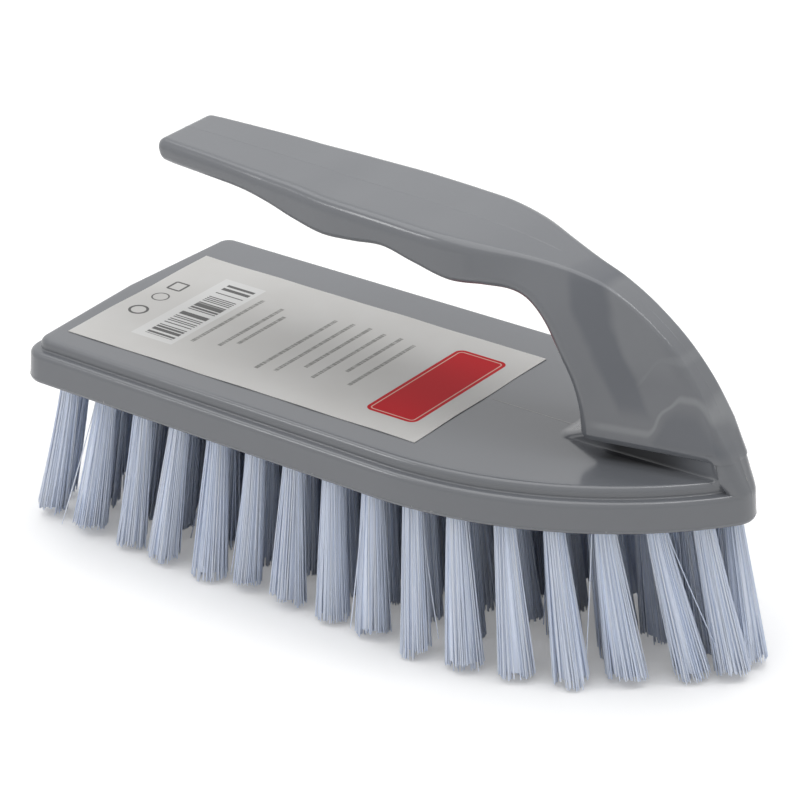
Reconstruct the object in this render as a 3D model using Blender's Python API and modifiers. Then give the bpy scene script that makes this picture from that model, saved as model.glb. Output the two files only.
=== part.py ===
"""Iron-shaped hand scrubbing brush, built as a moulding, a label and rows of bristle tufts.

The frame stands on the bristle tips: X runs from the blunt rear to the nose, Z points up and
the brush is symmetric about Y = 0. Lengths are metres.
"""

import math

import bmesh
import bpy
from mathutils import Vector

# Block in plan, measured from the apex of its rear face.
BASE_LENGTH = 0.1492
BASE_WIDTH = 0.0666
REAR_TAPER = 0.0008
REAR_VEE = 0.0016
SIDE_SHARE = 0.59
PLATE_CORNER = 0.0028
PLATE_NOSE = 0.0028

# Block in height, from its underside up to the raised plate.
BLOCK_DEPTH = 0.0083
BRISTLE_REACH = 0.0312
FLASH_HEIGHT = 0.0007
FLASH_STEP = 0.0002
RIM_ROUND = 0.0012
RIM_WIDTH = 0.0024
GROOVE_DROP = 0.0022
PLATE_ROUND = 0.0016
DRAFT = math.radians(3.0)

# Pocket under the block that takes the backing slices.
POCKET_WALL = 0.0020
POCKET_DEPTH = 0.0030
SEAT_GAP = 0.0003

# Handle: a bar over the block that bends down into a foot on the nose.
HANDLE_REAR_GAP = 0.0166
HANDLE_RISE = 0.0379
HANDLE_WIDTH = 0.0248
GRIP_TOP_ROUND = 0.0025
GRIP_UNDER_ROUND = 0.0016
POST_FRONT_ROUND = 0.0012
FOOT_FRONT_ROUND = 0.0020
END_ROUND = 0.0020
FOOT_CLEARANCE = 0.0035
FOOT_ROUND = 0.0012
FOOT_STEP = 0.0002
FRONT_LEAN_SHARE = 0.33
FRONT_BOW_LENGTH = 0.091
FRONT_GAP = 0.0003
WEB_WIDTH = 0.0114
WEB_RUN_OUT = 0.0078
WEB_SETBACK = 0.0005
WEB_CORNER = 0.0026
WEB_SINK = 0.0036

# Nose: where the undercut of the foot closes, and how the prow narrows down to the groove.
CHEEK_GAP = 0.0059
CHEEK_RUN = 0.0008
PLATE_FRONT_GAP = 0.0016
PLATE_FRONT_HALF = 0.0041
PLATE_FRONT_ROUND = 0.0033
GROOVE_FRONT_GAP = 0.0004
GROOVE_FRONT_HALF = 0.0036
GROOVE_FRONT_ROUND = 0.0033

# Label on the plate.
LABEL_FRONT_GAP = 0.0197
LABEL_SIDE_MARGIN = 0.0114
LABEL_THICKNESS = 0.0002
LABEL_REAR_MARGIN = 0.0070
LABEL_SIDE_SHIFT = 0.0021
LABEL_CORNER = 0.0005

# Tufts: a staggered field whose outer row follows the block's edge.
TUFT_EDGE = 0.0047
TUFT_REAR_MARGIN = 0.0112
TUFT_NOSE_MARGIN = 0.0060
TUFT_COLUMNS = 16
ROW_SHARE = 0.14
STRANDS_IN_RING = 4
STRAND_SIDES = 4
UPRIGHT_PLACE = 0.070
SIDE_LEAN = 0.0024
REAR_LEAN = 0.0075
NOSE_LEAN = 0.0088
STRAND_SINK = 0.0010
SLICE_GAP = 0.0003

# Facets.
CORNER_STEPS = 4
NOSE_STEPS = 6
ARC_STEPS = 12
SIDE_STEPS = 3
EDGE_STEPS = 3
SECTION_STEPS = 4
SPAN_STEPS = 3
FILLET_STEPS = 3
LABEL_STEPS = 3
SHARP_ANGLE = math.radians(35.0)
WELD = 0.00002

# Sizes of a tuft, as shares of the pitch of the outer line.
CLEARANCE_SHARE = 0.835
STRAND_ROOT_SHARE = 0.143
STRAND_TIP_SHARE = 0.264
ROOT_SPREAD_SHARE = 0.154
TIP_SPREAD_SHARE = 0.297

UNDERSIDE = BRISTLE_REACH
PLATE_TOP = BRISTLE_REACH + BLOCK_DEPTH

# Along the handle, from its rear end to the bend above the heel: the top line, the underside
# line and the half widths of both, as shares of the reach, the rise and half the width.
GRIP_SHARES = (
    # top x, top z, under x, under z, top width, under width
    (0.005, 1.002, 0.010, 0.884, 0.720, 0.700),
    (0.094, 1.000, 0.094, 0.880, 0.790, 0.765),
    (0.169, 0.995, 0.171, 0.874, 0.855, 0.830),
    (0.223, 0.991, 0.223, 0.847, 0.900, 0.875),
    (0.269, 0.988, 0.269, 0.808, 0.940, 0.905),
    (0.324, 0.980, 0.324, 0.779, 1.010, 0.945),
    (0.379, 0.978, 0.379, 0.795, 1.040, 0.970),
    (0.433, 0.974, 0.433, 0.818, 1.045, 0.985),
    (0.485, 0.968, 0.485, 0.781, 1.035, 0.990),
    (0.543, 0.962, 0.546, 0.743, 0.980, 1.000),
    (0.604, 0.947, 0.602, 0.762, 0.780, 1.000),
    (0.664, 0.918, 0.640, 0.760, 0.510, 0.985),
    (0.720, 0.880, 0.670, 0.727, 0.330, 0.970),
    (0.771, 0.832, 0.698, 0.640, 0.260, 0.950),
    (0.823, 0.742, 0.724, 0.498, 0.240, 0.930),
    (0.876, 0.605, 0.744, 0.380, 0.240, 0.910),
    (0.918, 0.440, 0.756, 0.265, 0.270, 0.895),
    (0.950, 0.260, 0.760, 0.175, 0.310, 0.880),
)

# The heel's place as a share of the reach, and the foot's half widths as shares of half the width.
HEEL_SHARE = 0.761
FOOT_FRONT_SHARE = 0.345
FOOT_HEEL_SHARE = 0.870

# Where along the sections the top edges start to tighten into the ridge, over what length,
# and how much of a side a rounding may take.
RIDGE_START_SHARE = 0.60
RIDGE_EASE_SHARE = 0.16
ROUND_LIMIT_SHARE = 0.48


def remove_everything():
    for item in list(bpy.data.objects):
        bpy.data.objects.remove(item, do_unlink=True)


def make_collection(name):
    group = bpy.data.collections.new(name)
    bpy.context.scene.collection.children.link(group)
    return group


def make_material(name, colour, roughness):
    material = bpy.data.materials.new(name)
    material.use_nodes = True
    shader = material.node_tree.nodes["Principled BSDF"]
    shader.inputs["Base Color"].default_value = (*colour, 1.0)
    shader.inputs["Roughness"].default_value = roughness
    return material


def mesh_object(name, bm, group, material=None):
    """Turns a bmesh into an object with its faces pointing outwards."""
    bmesh.ops.recalc_face_normals(bm, faces=bm.faces)
    mesh = bpy.data.meshes.new(name)
    bm.to_mesh(mesh)
    bm.free()
    item = bpy.data.objects.new(name, mesh)
    group.objects.link(item)
    if material:
        mesh.materials.append(material)
    return item


def loft(rings):
    """Skins a list of rings of points and closes both ends.

    The rings have equally many places, and a place that a ring leaves empty is None there. Where
    only one of two rings fills a place, the face between them takes that point in as well.
    """
    bm = bmesh.new()
    rows = [[point and bm.verts.new(point) for point in ring] for ring in rings]
    count = len(rows[0])
    for low, high in zip(rows, rows[1:]):
        shared = [i for i in range(count) if low[i] and high[i]]
        for i, j in zip(shared, shared[1:] + [shared[0] + count]):
            near = [low[k % count] for k in range(i, j + 1)]
            far = [high[k % count] for k in range(j, i - 1, -1)]
            bm.faces.new([vert for vert in near + far if vert])
    bm.faces.new([vert for vert in reversed(rows[0]) if vert])
    bm.faces.new([vert for vert in rows[-1] if vert])
    return bm


def flat_solid(name, outline, low, high, group, material=None):
    """A flat outline with straight walls between two heights."""
    curve = bpy.data.curves.new(name, "CURVE")
    curve.dimensions = "2D"
    curve.fill_mode = "BOTH"
    curve.extrude = (high - low) / 2
    spline = curve.splines.new("POLY")
    spline.points.add(len(outline) - 1)
    for point, place in zip(spline.points, outline):
        point.co = (place.x, place.y, 0, 1)
    spline.use_cyclic_u = True
    shape = bpy.data.objects.new(name + "_outline", curve)
    group.objects.link(shape)
    shape.location.z = (low + high) / 2
    bpy.context.view_layer.update()
    graph = bpy.context.evaluated_depsgraph_get()
    mesh = bpy.data.meshes.new_from_object(shape.evaluated_get(graph))
    bm = bmesh.new()
    bm.from_mesh(mesh)
    bpy.data.meshes.remove(mesh)
    bmesh.ops.remove_doubles(bm, verts=bm.verts, dist=WELD)
    item = mesh_object(name, bm, group, material)
    item.matrix_world = shape.matrix_world
    bpy.data.objects.remove(shape)
    bpy.data.curves.remove(curve)
    return item


def shade_round(item):
    item.data.shade_smooth()
    item.data.set_sharp_from_angle(angle=SHARP_ANGLE)


def unite(target, tool, cutters):
    """Joins a tool object to a target with an exact Boolean and keeps the tool as a cutter."""
    for group in list(tool.users_collection):
        group.objects.unlink(tool)
    cutters.objects.link(tool)
    tool.hide_render = True
    tool.display_type = "WIRE"
    modifier = target.modifiers.new("Union", "BOOLEAN")
    modifier.operation = "UNION"
    modifier.solver = "EXACT"
    modifier.object = tool


def rounded(before, corner, after, radius, steps):
    """Points of the arc that rounds a corner of a polygon."""
    back = (before - corner).normalized()
    ahead = (after - corner).normalized()
    half = math.acos(max(-1.0, min(1.0, back.dot(ahead)))) / 2
    middle = (back + ahead).normalized()
    centre = corner + middle * (radius / math.sin(half))
    reach = radius / math.tan(half)
    start = corner + back * reach - centre
    end = corner + ahead * reach - centre
    sweep = start.angle_signed(end)
    points = []
    for i in range(steps + 1):
        angle = -sweep * i / steps
        points.append(centre + Vector((
            start.x * math.cos(angle) - start.y * math.sin(angle),
            start.x * math.sin(angle) + start.y * math.cos(angle),
        )))
    return points


def arc_points(centre, radius, start, end, steps):
    """Points of an arc in plan, its angles measured from +Y towards +X."""
    points = []
    for i in range(steps + 1):
        angle = start + (end - start) * i / steps
        points.append(centre + radius * Vector((math.sin(angle), math.cos(angle))))
    return points


def edge_half():
    """One half of the block's edge in plan, from the rear apex to the nose tip.

    The long side arc is tangent to the widest line and to the circle of the nose.
    """
    nose = RIM_WIDTH + PLATE_NOSE
    half = BASE_WIDTH / 2
    side_length = SIDE_SHARE * BASE_LENGTH
    run = BASE_LENGTH - nose - side_length
    radius = (run ** 2 + half ** 2 - nose ** 2) / (2 * (half - nose))
    rear = Vector((REAR_VEE, half - REAR_TAPER))
    start = Vector((side_length, half))
    corner = rounded(Vector((0, 0)), rear, start, RIM_WIDTH + PLATE_CORNER, CORNER_STEPS)
    points = [Vector((0, 0)), corner[0] / 2] + corner
    side = corner[-1]
    points += [side.lerp(start, i / SIDE_STEPS) for i in range(1, SIDE_STEPS)]
    centre = Vector((side_length, half - radius))
    nose_centre = Vector((BASE_LENGTH - nose, 0))
    reach = nose_centre - centre
    turn = math.atan2(reach.x, reach.y)
    points += arc_points(centre, radius, 0, turn, ARC_STEPS)
    points += arc_points(nose_centre, nose, turn, math.pi / 2, NOSE_STEPS)[1:]
    return points


def edge_outline():
    half = edge_half()
    return half + [Vector((p.x, -p.y)) for p in reversed(half[1:-1])]


def inset(outline, distance):
    """Moves each side of a closed outline inwards by one distance."""
    count = len(outline)
    moved = []
    for i in range(count):
        before = (outline[i] - outline[i - 1]).normalized()
        after = (outline[(i + 1) % count] - outline[i]).normalized()
        left = Vector((-before.y, before.x))
        right = Vector((-after.y, after.x))
        mitre = (left + right) / (1 + left.dot(right))
        moved.append(outline[i] - mitre * distance)
    return moved


def centred(points):
    """Moves points in plan from the rear apex to the middle of the brush."""
    shift = centre_shift()
    return [Vector((p.x - shift, p.y)) for p in points]


def make_block(group):
    """The drafted block, from the roof of its pocket round to the raised plate."""
    groove = PLATE_TOP - GROOVE_DROP
    flash = UNDERSIDE + FLASH_HEIGHT
    lean = math.tan(DRAFT)
    steps = [
        # inset, height, rounding
        (POCKET_WALL, UNDERSIDE + POCKET_DEPTH, 0),
        (POCKET_WALL, UNDERSIDE, 0),
        (FLASH_STEP + FLASH_HEIGHT * lean, UNDERSIDE, 0),
        (0, flash, 0),
        ((groove - flash) * lean, groove, RIM_ROUND),
        (RIM_WIDTH, groove, 0),
        (RIM_WIDTH + GROOVE_DROP * lean, PLATE_TOP, PLATE_ROUND),
    ]
    outline = edge_outline()
    rings = [
        [(p.x, p.y, height) for p in centred(inset(outline, distance))]
        for distance, height, _ in steps
    ]
    block = mesh_object("body", loft(rings), group)
    weights = block.data.attributes.new("bevel_weight_edge", "FLOAT", "EDGE")
    widest = max(RIM_ROUND, PLATE_ROUND)
    count = len(outline)
    for edge in block.data.edges:
        low, high = (v // count for v in edge.vertices)
        if low == high:
            weights.data[edge.index].value = steps[low][2] / widest
    bevel = block.modifiers.new("Bevel", "BEVEL")
    bevel.limit_method = "WEIGHT"
    bevel.width = widest
    bevel.segments = EDGE_STEPS
    return block


def smooth_rows(rows, steps):
    """Fills in rows of numbers along a smooth curve through all of them."""
    filled = []
    last = len(rows) - 1
    for k in range(last):
        a = rows[max(k - 1, 0)]
        b = rows[k]
        c = rows[k + 1]
        d = rows[min(k + 2, last)]
        for i in range(steps):
            t = i / steps
            filled.append([
                q + t * ((r - p) + t * ((2 * p - 5 * q + 4 * r - s) + t * (3 * q - p - 3 * r + s))) / 2
                for p, q, r, s in zip(a, b, c, d)
            ])
    filled.append(list(rows[last]))
    return filled


def section(top, under, top_half, under_half, top_round, under_round, cheeks=(None, None)):
    """A rounded trapezium through a top point, an underside point and Y.

    Cheeks are two more points of each side, given by their place along X and half width. Only
    level sections have them.
    """
    across = top - under
    depth = across.length
    up = across / depth
    corners = [
        Vector((-under_half, 0)), Vector((under_half, 0)),
        Vector((top_half, depth)), Vector((-top_half, depth)),
    ]
    rounds = [under_round, under_round, top_round, top_round]
    points = []
    for i in range(4):
        before = corners[i - 1]
        corner = corners[i]
        after = corners[(i + 1) % 4]
        limit = ROUND_LIMIT_SHARE * min((corner - before).length, (after - corner).length)
        points += rounded(before, corner, after, min(rounds[i], limit), SECTION_STEPS)
        if i in (0, 2):
            points.append(Vector((0, points[-1].y)))
        elif i == 1:
            points += [cheek and Vector((cheek[1], cheek[0] - under.x)) for cheek in cheeks]
        else:
            points += [cheek and Vector((-cheek[1], cheek[0] - under.x)) for cheek in reversed(cheeks)]
    shift = centre_shift()
    return [p and (under.x + up.x * p.y - shift, p.x, under.y + up.y * p.y) for p in points]


def along_reach(share):
    """The place along X of a share of the handle's reach."""
    return HANDLE_REAR_GAP + share * (BASE_LENGTH - HANDLE_REAR_GAP)


def grip_rows():
    """Places and half widths along the grip and post, in metres."""
    half = HANDLE_WIDTH / 2
    rows = []
    for top_x, top_z, under_x, under_z, top_width, under_width in GRIP_SHARES:
        rows.append((
            along_reach(top_x), PLATE_TOP + top_z * HANDLE_RISE,
            along_reach(under_x), PLATE_TOP + under_z * HANDLE_RISE,
            top_width * half, under_width * half,
        ))
    return smooth_rows(rows, SPAN_STEPS)


def end_rings(row):
    """The bar's rear end, with the edge round its end face rounded."""
    rings = []
    for i in range(FILLET_STEPS):
        angle = math.pi / 2 * i / FILLET_STEPS
        draw = END_ROUND * (1 - math.sin(angle))
        along = END_ROUND * (1 - math.cos(angle))
        rings.append(section(
            Vector((row[0] + along, row[1] - draw)), Vector((row[2] + along, row[3] + draw)),
            row[4] - draw, row[5] - draw, GRIP_TOP_ROUND, GRIP_UNDER_ROUND,
        ))
    return rings


def grip_rings(rows):
    """Sections of the grip and post, whose top edges tighten towards the front."""
    rings = []
    last = len(rows) - 1
    for k, row in enumerate(rows):
        if k and row[0] < rows[0][0] + 2 * END_ROUND:
            continue
        share = k / last
        ease = min(max((share - RIDGE_START_SHARE) / RIDGE_EASE_SHARE, 0), 1)
        top_round = GRIP_TOP_ROUND + (POST_FRONT_ROUND - GRIP_TOP_ROUND) * ease
        ahead = END_ROUND if k == 0 else 0
        rings.append(section(
            Vector((row[0] + ahead, row[1])), Vector((row[2] + ahead, row[3])),
            row[4], row[5], top_round, GRIP_UNDER_ROUND,
        ))
    return rings


def front_line(height):
    """Front of the foot at a height: it leans back from the nose of the block."""
    rise = height - (PLATE_TOP - WEB_SINK)
    return BASE_LENGTH - FRONT_GAP - rise * FRONT_LEAN_SHARE - rise ** 2 / FRONT_BOW_LENGTH


def side_half(x, rear, rear_half, front, front_half):
    """Half width at a place on a straight side between two others."""
    return rear_half + (front_half - rear_half) * (x - rear) / (front - rear)


def foot_rings():
    """The foot's rounded underside, then the narrower web that carries it on the plate.

    The undercut between them closes at the cheeks. Ahead of these, one smooth prow runs down from
    the foot to the groove. Its own cheeks stand where the rounding of its front starts on the plate.
    """
    half = HANDLE_WIDTH / 2
    front_half = FOOT_FRONT_SHARE * half
    heel_half = FOOT_HEEL_SHARE * half
    floor = PLATE_TOP + FOOT_CLEARANCE
    heel = along_reach(HEEL_SHARE)
    shut = BASE_LENGTH - CHEEK_GAP
    open_half = side_half(shut, heel, heel_half, front_line(floor), front_half)
    shut_half = side_half(shut + CHEEK_RUN, heel, heel_half, front_line(floor), front_half)
    rings = []
    for i in range(FILLET_STEPS + 1):
        angle = math.pi / 2 * i / FILLET_STEPS
        draw = FOOT_ROUND * (1 - math.cos(angle))
        height = floor + FOOT_ROUND * (1 - math.sin(angle))
        rings.append(section(
            Vector((front_line(height), height)), Vector((heel + draw, height)),
            front_half, heel_half - draw, FOOT_FRONT_ROUND, GRIP_UNDER_ROUND,
            ((shut, open_half - draw / 2), (shut + CHEEK_RUN, shut_half)),
        ))
    web_half = WEB_WIDTH / 2
    groove = PLATE_TOP - GROOVE_DROP
    prow = BASE_LENGTH - PLATE_FRONT_GAP - PLATE_FRONT_ROUND
    places = (
        # height, rear end, front gap, half width and rounding of the front, second cheek
        (floor - FOOT_STEP, heel + WEB_SETBACK, BASE_LENGTH - front_line(floor - FOOT_STEP),
         front_half, FOOT_FRONT_ROUND, (shut + CHEEK_RUN, shut_half)),
        (PLATE_TOP, heel - WEB_RUN_OUT, PLATE_FRONT_GAP, PLATE_FRONT_HALF, PLATE_FRONT_ROUND,
         (prow, (front_half + PLATE_FRONT_HALF) / 2)),
        (groove, heel - WEB_RUN_OUT, GROOVE_FRONT_GAP, GROOVE_FRONT_HALF, GROOVE_FRONT_ROUND,
         (prow, GROOVE_FRONT_HALF)),
        (PLATE_TOP - WEB_SINK, heel - WEB_RUN_OUT, GROOVE_FRONT_GAP, GROOVE_FRONT_HALF,
         GROOVE_FRONT_ROUND, (prow, GROOVE_FRONT_HALF)),
    )
    for height, rear, gap, end_half, end_round, cheek in places:
        front = BASE_LENGTH - gap
        rings.append(section(
            Vector((front, height)), Vector((rear, height)), end_half, web_half, end_round, WEB_CORNER,
            ((shut, side_half(shut, rear, web_half, BASE_LENGTH, front_half)), cheek),
        ))
    return rings


def make_body(group, cutters):
    """Block and handle, which are one moulding."""
    body = make_block(group)
    rows = grip_rows()
    rings = end_rings(rows[0]) + grip_rings(rows) + foot_rings()
    handle = mesh_object("handle", loft(rings), group)
    material = make_material("grey_moulding", (0.24, 0.25, 0.26), 0.35)
    for item in (body, handle):
        item.data.materials.append(material)
        shade_round(item)
    unite(body, handle, cutters)


def make_label(group):
    """A thin sheet with small round corners, set to one side of the plate's middle."""
    front = along_reach(HEEL_SHARE) - WEB_RUN_OUT - LABEL_FRONT_GAP
    half = Vector((front - LABEL_REAR_MARGIN, BASE_WIDTH - 2 * LABEL_SIDE_MARGIN)) / 2
    signs = ((-1, -1), (1, -1), (1, 1), (-1, 1))
    corners = [Vector((half.x * x, half.y * y)) for x, y in signs]
    outline = []
    for i, corner in enumerate(corners):
        ahead = corners[(i + 1) % len(corners)]
        outline += rounded(corners[i - 1], corner, ahead, LABEL_CORNER, LABEL_STEPS)
    middle = Vector((LABEL_REAR_MARGIN + half.x, -LABEL_SIDE_SHIFT))
    low = PLATE_TOP + SEAT_GAP
    flat_solid(
        "label", centred([p + middle for p in outline]), low, low + LABEL_THICKNESS, group,
        make_material("label_paper", (0.58, 0.57, 0.55), 0.5),
    )


def walk(points, distance):
    """The point at a distance along a line of points, or None past its end."""
    for a, b in zip(points, points[1:]):
        step = (b - a).length
        if distance <= step:
            return a.lerp(b, distance / step)
        distance -= step
    return None


def half_width_at(points, x):
    """Half width of one half of an outline at a place along X."""
    for a, b in zip(points, points[1:]):
        if a.x <= x <= b.x and b.x > a.x:
            return a.y + (b.y - a.y) * (x - a.x) / (b.x - a.x)
    return 0.0


def side_line(distance):
    """One half of the outline drawn in by a distance, without the points of its rear face."""
    half = inset(edge_outline(), distance)[:len(edge_half())]
    return half[2:]


def tuft_line():
    """Half of the line that the outer tufts stand on, from the rear margin to the nose."""
    line = side_line(TUFT_EDGE)
    start = Vector((TUFT_REAR_MARGIN, half_width_at(line, TUFT_REAR_MARGIN)))
    return [start] + [p for p in line if p.x > TUFT_REAR_MARGIN]


def tuft_pitch():
    """The pitch at which the columns fill the line up to the nose margin."""
    line = tuft_line()
    length = sum((b - a).length for a, b in zip(line, line[1:]))
    return (length - TUFT_NOSE_MARGIN) / (TUFT_COLUMNS - 1)


def outer_tufts():
    """Half of the outer line of tufts, at one pitch along the block's edge."""
    line = tuft_line()
    pitch = tuft_pitch()
    return [walk(line, i * pitch) for i in range(TUFT_COLUMNS)]


def tuft_columns():
    """Tuft places in plan, one list for each cross row: the outer line and a staggered grid."""
    outer = outer_tufts()
    line = side_line(TUFT_EDGE)
    pitch = tuft_pitch()
    spacing = ROW_SHARE * BASE_WIDTH
    columns = []
    for i, edge_tuft in enumerate(outer):
        along = TUFT_REAR_MARGIN + i * pitch
        between = along - pitch / 2
        grid = [
            Vector((between, 0)), Vector((along, spacing)), Vector((between, 2 * spacing))
        ]
        half = [edge_tuft]
        for place in grid:
            gap = min((place - other).length for other in outer)
            if place.y < half_width_at(line, place.x) and gap > CLEARANCE_SHARE * pitch:
                half.append(place)
        columns.append(half + [Vector((p.x, -p.y)) for p in half if p.y > 0])
    return columns


def lean_of(place):
    """How far a tuft's tips stand from its root in plan: the field fans out all round."""
    ahead = place.x - UPRIGHT_PLACE
    if ahead > 0:
        along = NOSE_LEAN * ahead / (BASE_LENGTH - UPRIGHT_PLACE)
    else:
        along = REAR_LEAN * ahead / UPRIGHT_PLACE
    return Vector((along, SIDE_LEAN * place.y / (BASE_WIDTH / 2)))


def add_strand(bm, root, tip, pitch):
    """One faceted strand that widens from the backing down to the floor."""
    top = UNDERSIDE + STRAND_SINK
    made = bmesh.ops.create_cone(
        bm, cap_ends=True, segments=STRAND_SIDES,
        radius1=STRAND_TIP_SHARE * pitch / 2, radius2=STRAND_ROOT_SHARE * pitch / 2, depth=top,
    )
    for vert in made["verts"]:
        end = tip if vert.co.z < 0 else root
        vert.co += Vector((end.x, end.y, top / 2))


def add_tuft(bm, place, pitch):
    """A middle strand and a ring of strands round it, fanned out to the tips."""
    root = centred([place])[0]
    tip = root + lean_of(place)
    add_strand(bm, root, tip, pitch)
    for i in range(STRANDS_IN_RING):
        turn = math.tau * i / STRANDS_IN_RING + math.pi / STRAND_SIDES
        way = Vector((math.cos(turn), math.sin(turn))) * pitch
        add_strand(bm, root + way * ROOT_SPREAD_SHARE, tip + way * TIP_SPREAD_SHARE, pitch)


def centre_shift():
    """Distance from the rear apex to the middle of the whole brush along X."""
    reach = tuft_pitch() * (TIP_SPREAD_SHARE * math.cos(math.pi / STRAND_SIDES) + STRAND_TIP_SHARE / 2)
    tips = [place.x + lean_of(place).x for tufts in tuft_columns() for place in tufts]
    low = min(0.0, min(tips) - reach)
    high = max(BASE_LENGTH, max(tips) + reach)
    return (low + high) / 2


def slice_outline(low, high):
    """The part of the pocket, less its gap, between two places along X."""
    half = inset(edge_outline(), POCKET_WALL + SEAT_GAP)[:len(edge_half())]
    side = half[2:]
    points = [p for p in half if low < p.x < high]
    if low > half[0].x:
        points.insert(0, Vector((low, half_width_at(side, low))))
    if high < half[-1].x:
        points.append(Vector((high, half_width_at(side, high))))
    return points + [Vector((p.x, -p.y)) for p in reversed(points) if p.y > WELD]


def make_rows(group, cutters):
    """One backing slice for each cross row, with its strands."""
    columns = tuft_columns()
    pitch = tuft_pitch()
    bristle = make_material("pale_blue_bristle", (0.52, 0.60, 0.72), 0.4)
    low = -BASE_LENGTH
    for k, tufts in enumerate(columns):
        high = 2 * BASE_LENGTH
        if k + 1 < len(columns):
            high = (max(p.x for p in tufts) + min(p.x for p in columns[k + 1])) / 2
        outline = slice_outline(low, high - SLICE_GAP / 2)
        name = f"tuft_row_{k + 1:02d}"
        top = UNDERSIDE + POCKET_DEPTH - SEAT_GAP
        row = flat_solid(name, centred(outline), UNDERSIDE, top, group, bristle)
        bm = bmesh.new()
        for place in tufts:
            add_tuft(bm, place, pitch)
        unite(row, mesh_object(name + "_strands", bm, group, bristle), cutters)
        low = high + SLICE_GAP / 2


def main():
    remove_everything()
    brush = make_collection("hand_brush")
    cutters = make_collection("cutters")
    make_body(brush, cutters)
    make_label(brush)
    make_rows(brush, cutters)


main()
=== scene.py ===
# %% [markdown]
# A hand scrubbing brush, dressed for a studio photograph.
# The real brush is one grey moulding, block and handle in one, with a printed sheet stuck on its
# plate and about a hundred tufts of pale blue filament pressed into holes in its underside.
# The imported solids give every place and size. This script gives each surface its finish, and
# replaces the solids whose facets or plain forms would show.

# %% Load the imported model
import math
import random

import bmesh
import bpy
from mathutils import Matrix, Vector


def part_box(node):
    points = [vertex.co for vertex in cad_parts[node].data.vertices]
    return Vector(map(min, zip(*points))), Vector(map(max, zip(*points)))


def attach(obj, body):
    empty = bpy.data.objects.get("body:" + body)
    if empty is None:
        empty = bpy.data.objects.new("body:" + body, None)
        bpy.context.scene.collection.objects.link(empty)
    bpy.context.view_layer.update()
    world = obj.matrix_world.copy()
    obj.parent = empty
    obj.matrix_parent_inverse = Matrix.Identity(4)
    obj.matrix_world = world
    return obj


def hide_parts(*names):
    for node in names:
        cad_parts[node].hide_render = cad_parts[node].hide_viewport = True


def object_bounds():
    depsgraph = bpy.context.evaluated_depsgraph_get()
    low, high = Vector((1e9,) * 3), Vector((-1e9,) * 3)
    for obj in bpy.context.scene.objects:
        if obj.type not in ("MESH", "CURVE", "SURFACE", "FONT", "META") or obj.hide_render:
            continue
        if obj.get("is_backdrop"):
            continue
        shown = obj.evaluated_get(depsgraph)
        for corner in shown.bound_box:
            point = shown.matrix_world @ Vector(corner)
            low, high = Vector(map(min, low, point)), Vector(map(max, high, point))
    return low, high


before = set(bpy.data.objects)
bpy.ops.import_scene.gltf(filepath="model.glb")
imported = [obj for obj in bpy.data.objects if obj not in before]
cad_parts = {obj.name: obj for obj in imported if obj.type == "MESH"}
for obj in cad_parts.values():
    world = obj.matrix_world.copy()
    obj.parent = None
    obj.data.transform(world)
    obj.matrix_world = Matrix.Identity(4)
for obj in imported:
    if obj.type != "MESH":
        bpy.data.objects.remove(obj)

cad_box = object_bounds()
body_low, body_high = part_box("body")
label_low, label_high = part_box("label")
rows = sorted(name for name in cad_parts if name.startswith("tuft_row"))
print("the frame has", len(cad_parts), "solids,", len(rows), "of them tuft rows")

# %% [markdown]
# The camera stands where the photographer stood: in front, to the right and above. A long lens
# keeps the sides of the block nearly parallel, so it stands well back.

# %% Camera
CAMERA_PLACE = (0.423115, -0.58901, 0.39118)
CAMERA_TURN = (63.799, 0.0, 35.985)
LENS = 189.83
camera = bpy.data.objects.new("camera", bpy.data.cameras.new("camera"))
bpy.context.scene.collection.objects.link(camera)
camera.location = CAMERA_PLACE
camera.rotation_euler = [math.radians(angle) for angle in CAMERA_TURN]
camera.data.lens = LENS
camera.data.clip_end = 20
bpy.context.scene.camera = camera
print("camera stands", round(camera.location.length, 3), "m from the middle of the brush")

# %% [markdown]
# A finish on this brush is mostly arithmetic on places: a speck here, a printed bar there. So
# shader maths is written as plain Python. A Signal wraps a socket, and adding or multiplying two
# of them adds the Math node that does it. A Finish is the material that they are drawn in.

# %% Signals and finishes
class Signal:
    """One output of a node. Python's arithmetic on it adds Math nodes."""

    def __init__(self, finish, socket):
        self.finish = finish
        self.socket = socket

    def maths(self, operation, *others, clamp=False):
        settings = {"operation": operation, "use_clamp": clamp}
        return self.finish.node("ShaderNodeMath", settings, dict(enumerate((self, *others))))

    def __add__(self, other):
        return self.maths("ADD", other)

    __radd__ = __add__

    def __mul__(self, other):
        return self.maths("MULTIPLY", other)

    __rmul__ = __mul__

    def __sub__(self, other):
        return self.maths("SUBTRACT", other)

    def __rsub__(self, other):
        return self * -1.0 + other

    def __abs__(self):
        return self.maths("ABSOLUTE")

    def most(self, other):
        return self.maths("MAXIMUM", other)

    def rises(self, low, high):
        """0 below low, 1 above high and a smooth step between them."""
        return self.finish.node(
            "ShaderNodeMapRange", {"interpolation_type": "SMOOTHSTEP"},
            {"Value": self, "From Min": low, "From Max": high},
        )

    def within(self, low, high, soft):
        """1 between two values and 0 outside them, with soft edges."""
        return self.rises(low - soft, low + soft) * (1 - self.rises(high - soft, high + soft))


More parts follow.
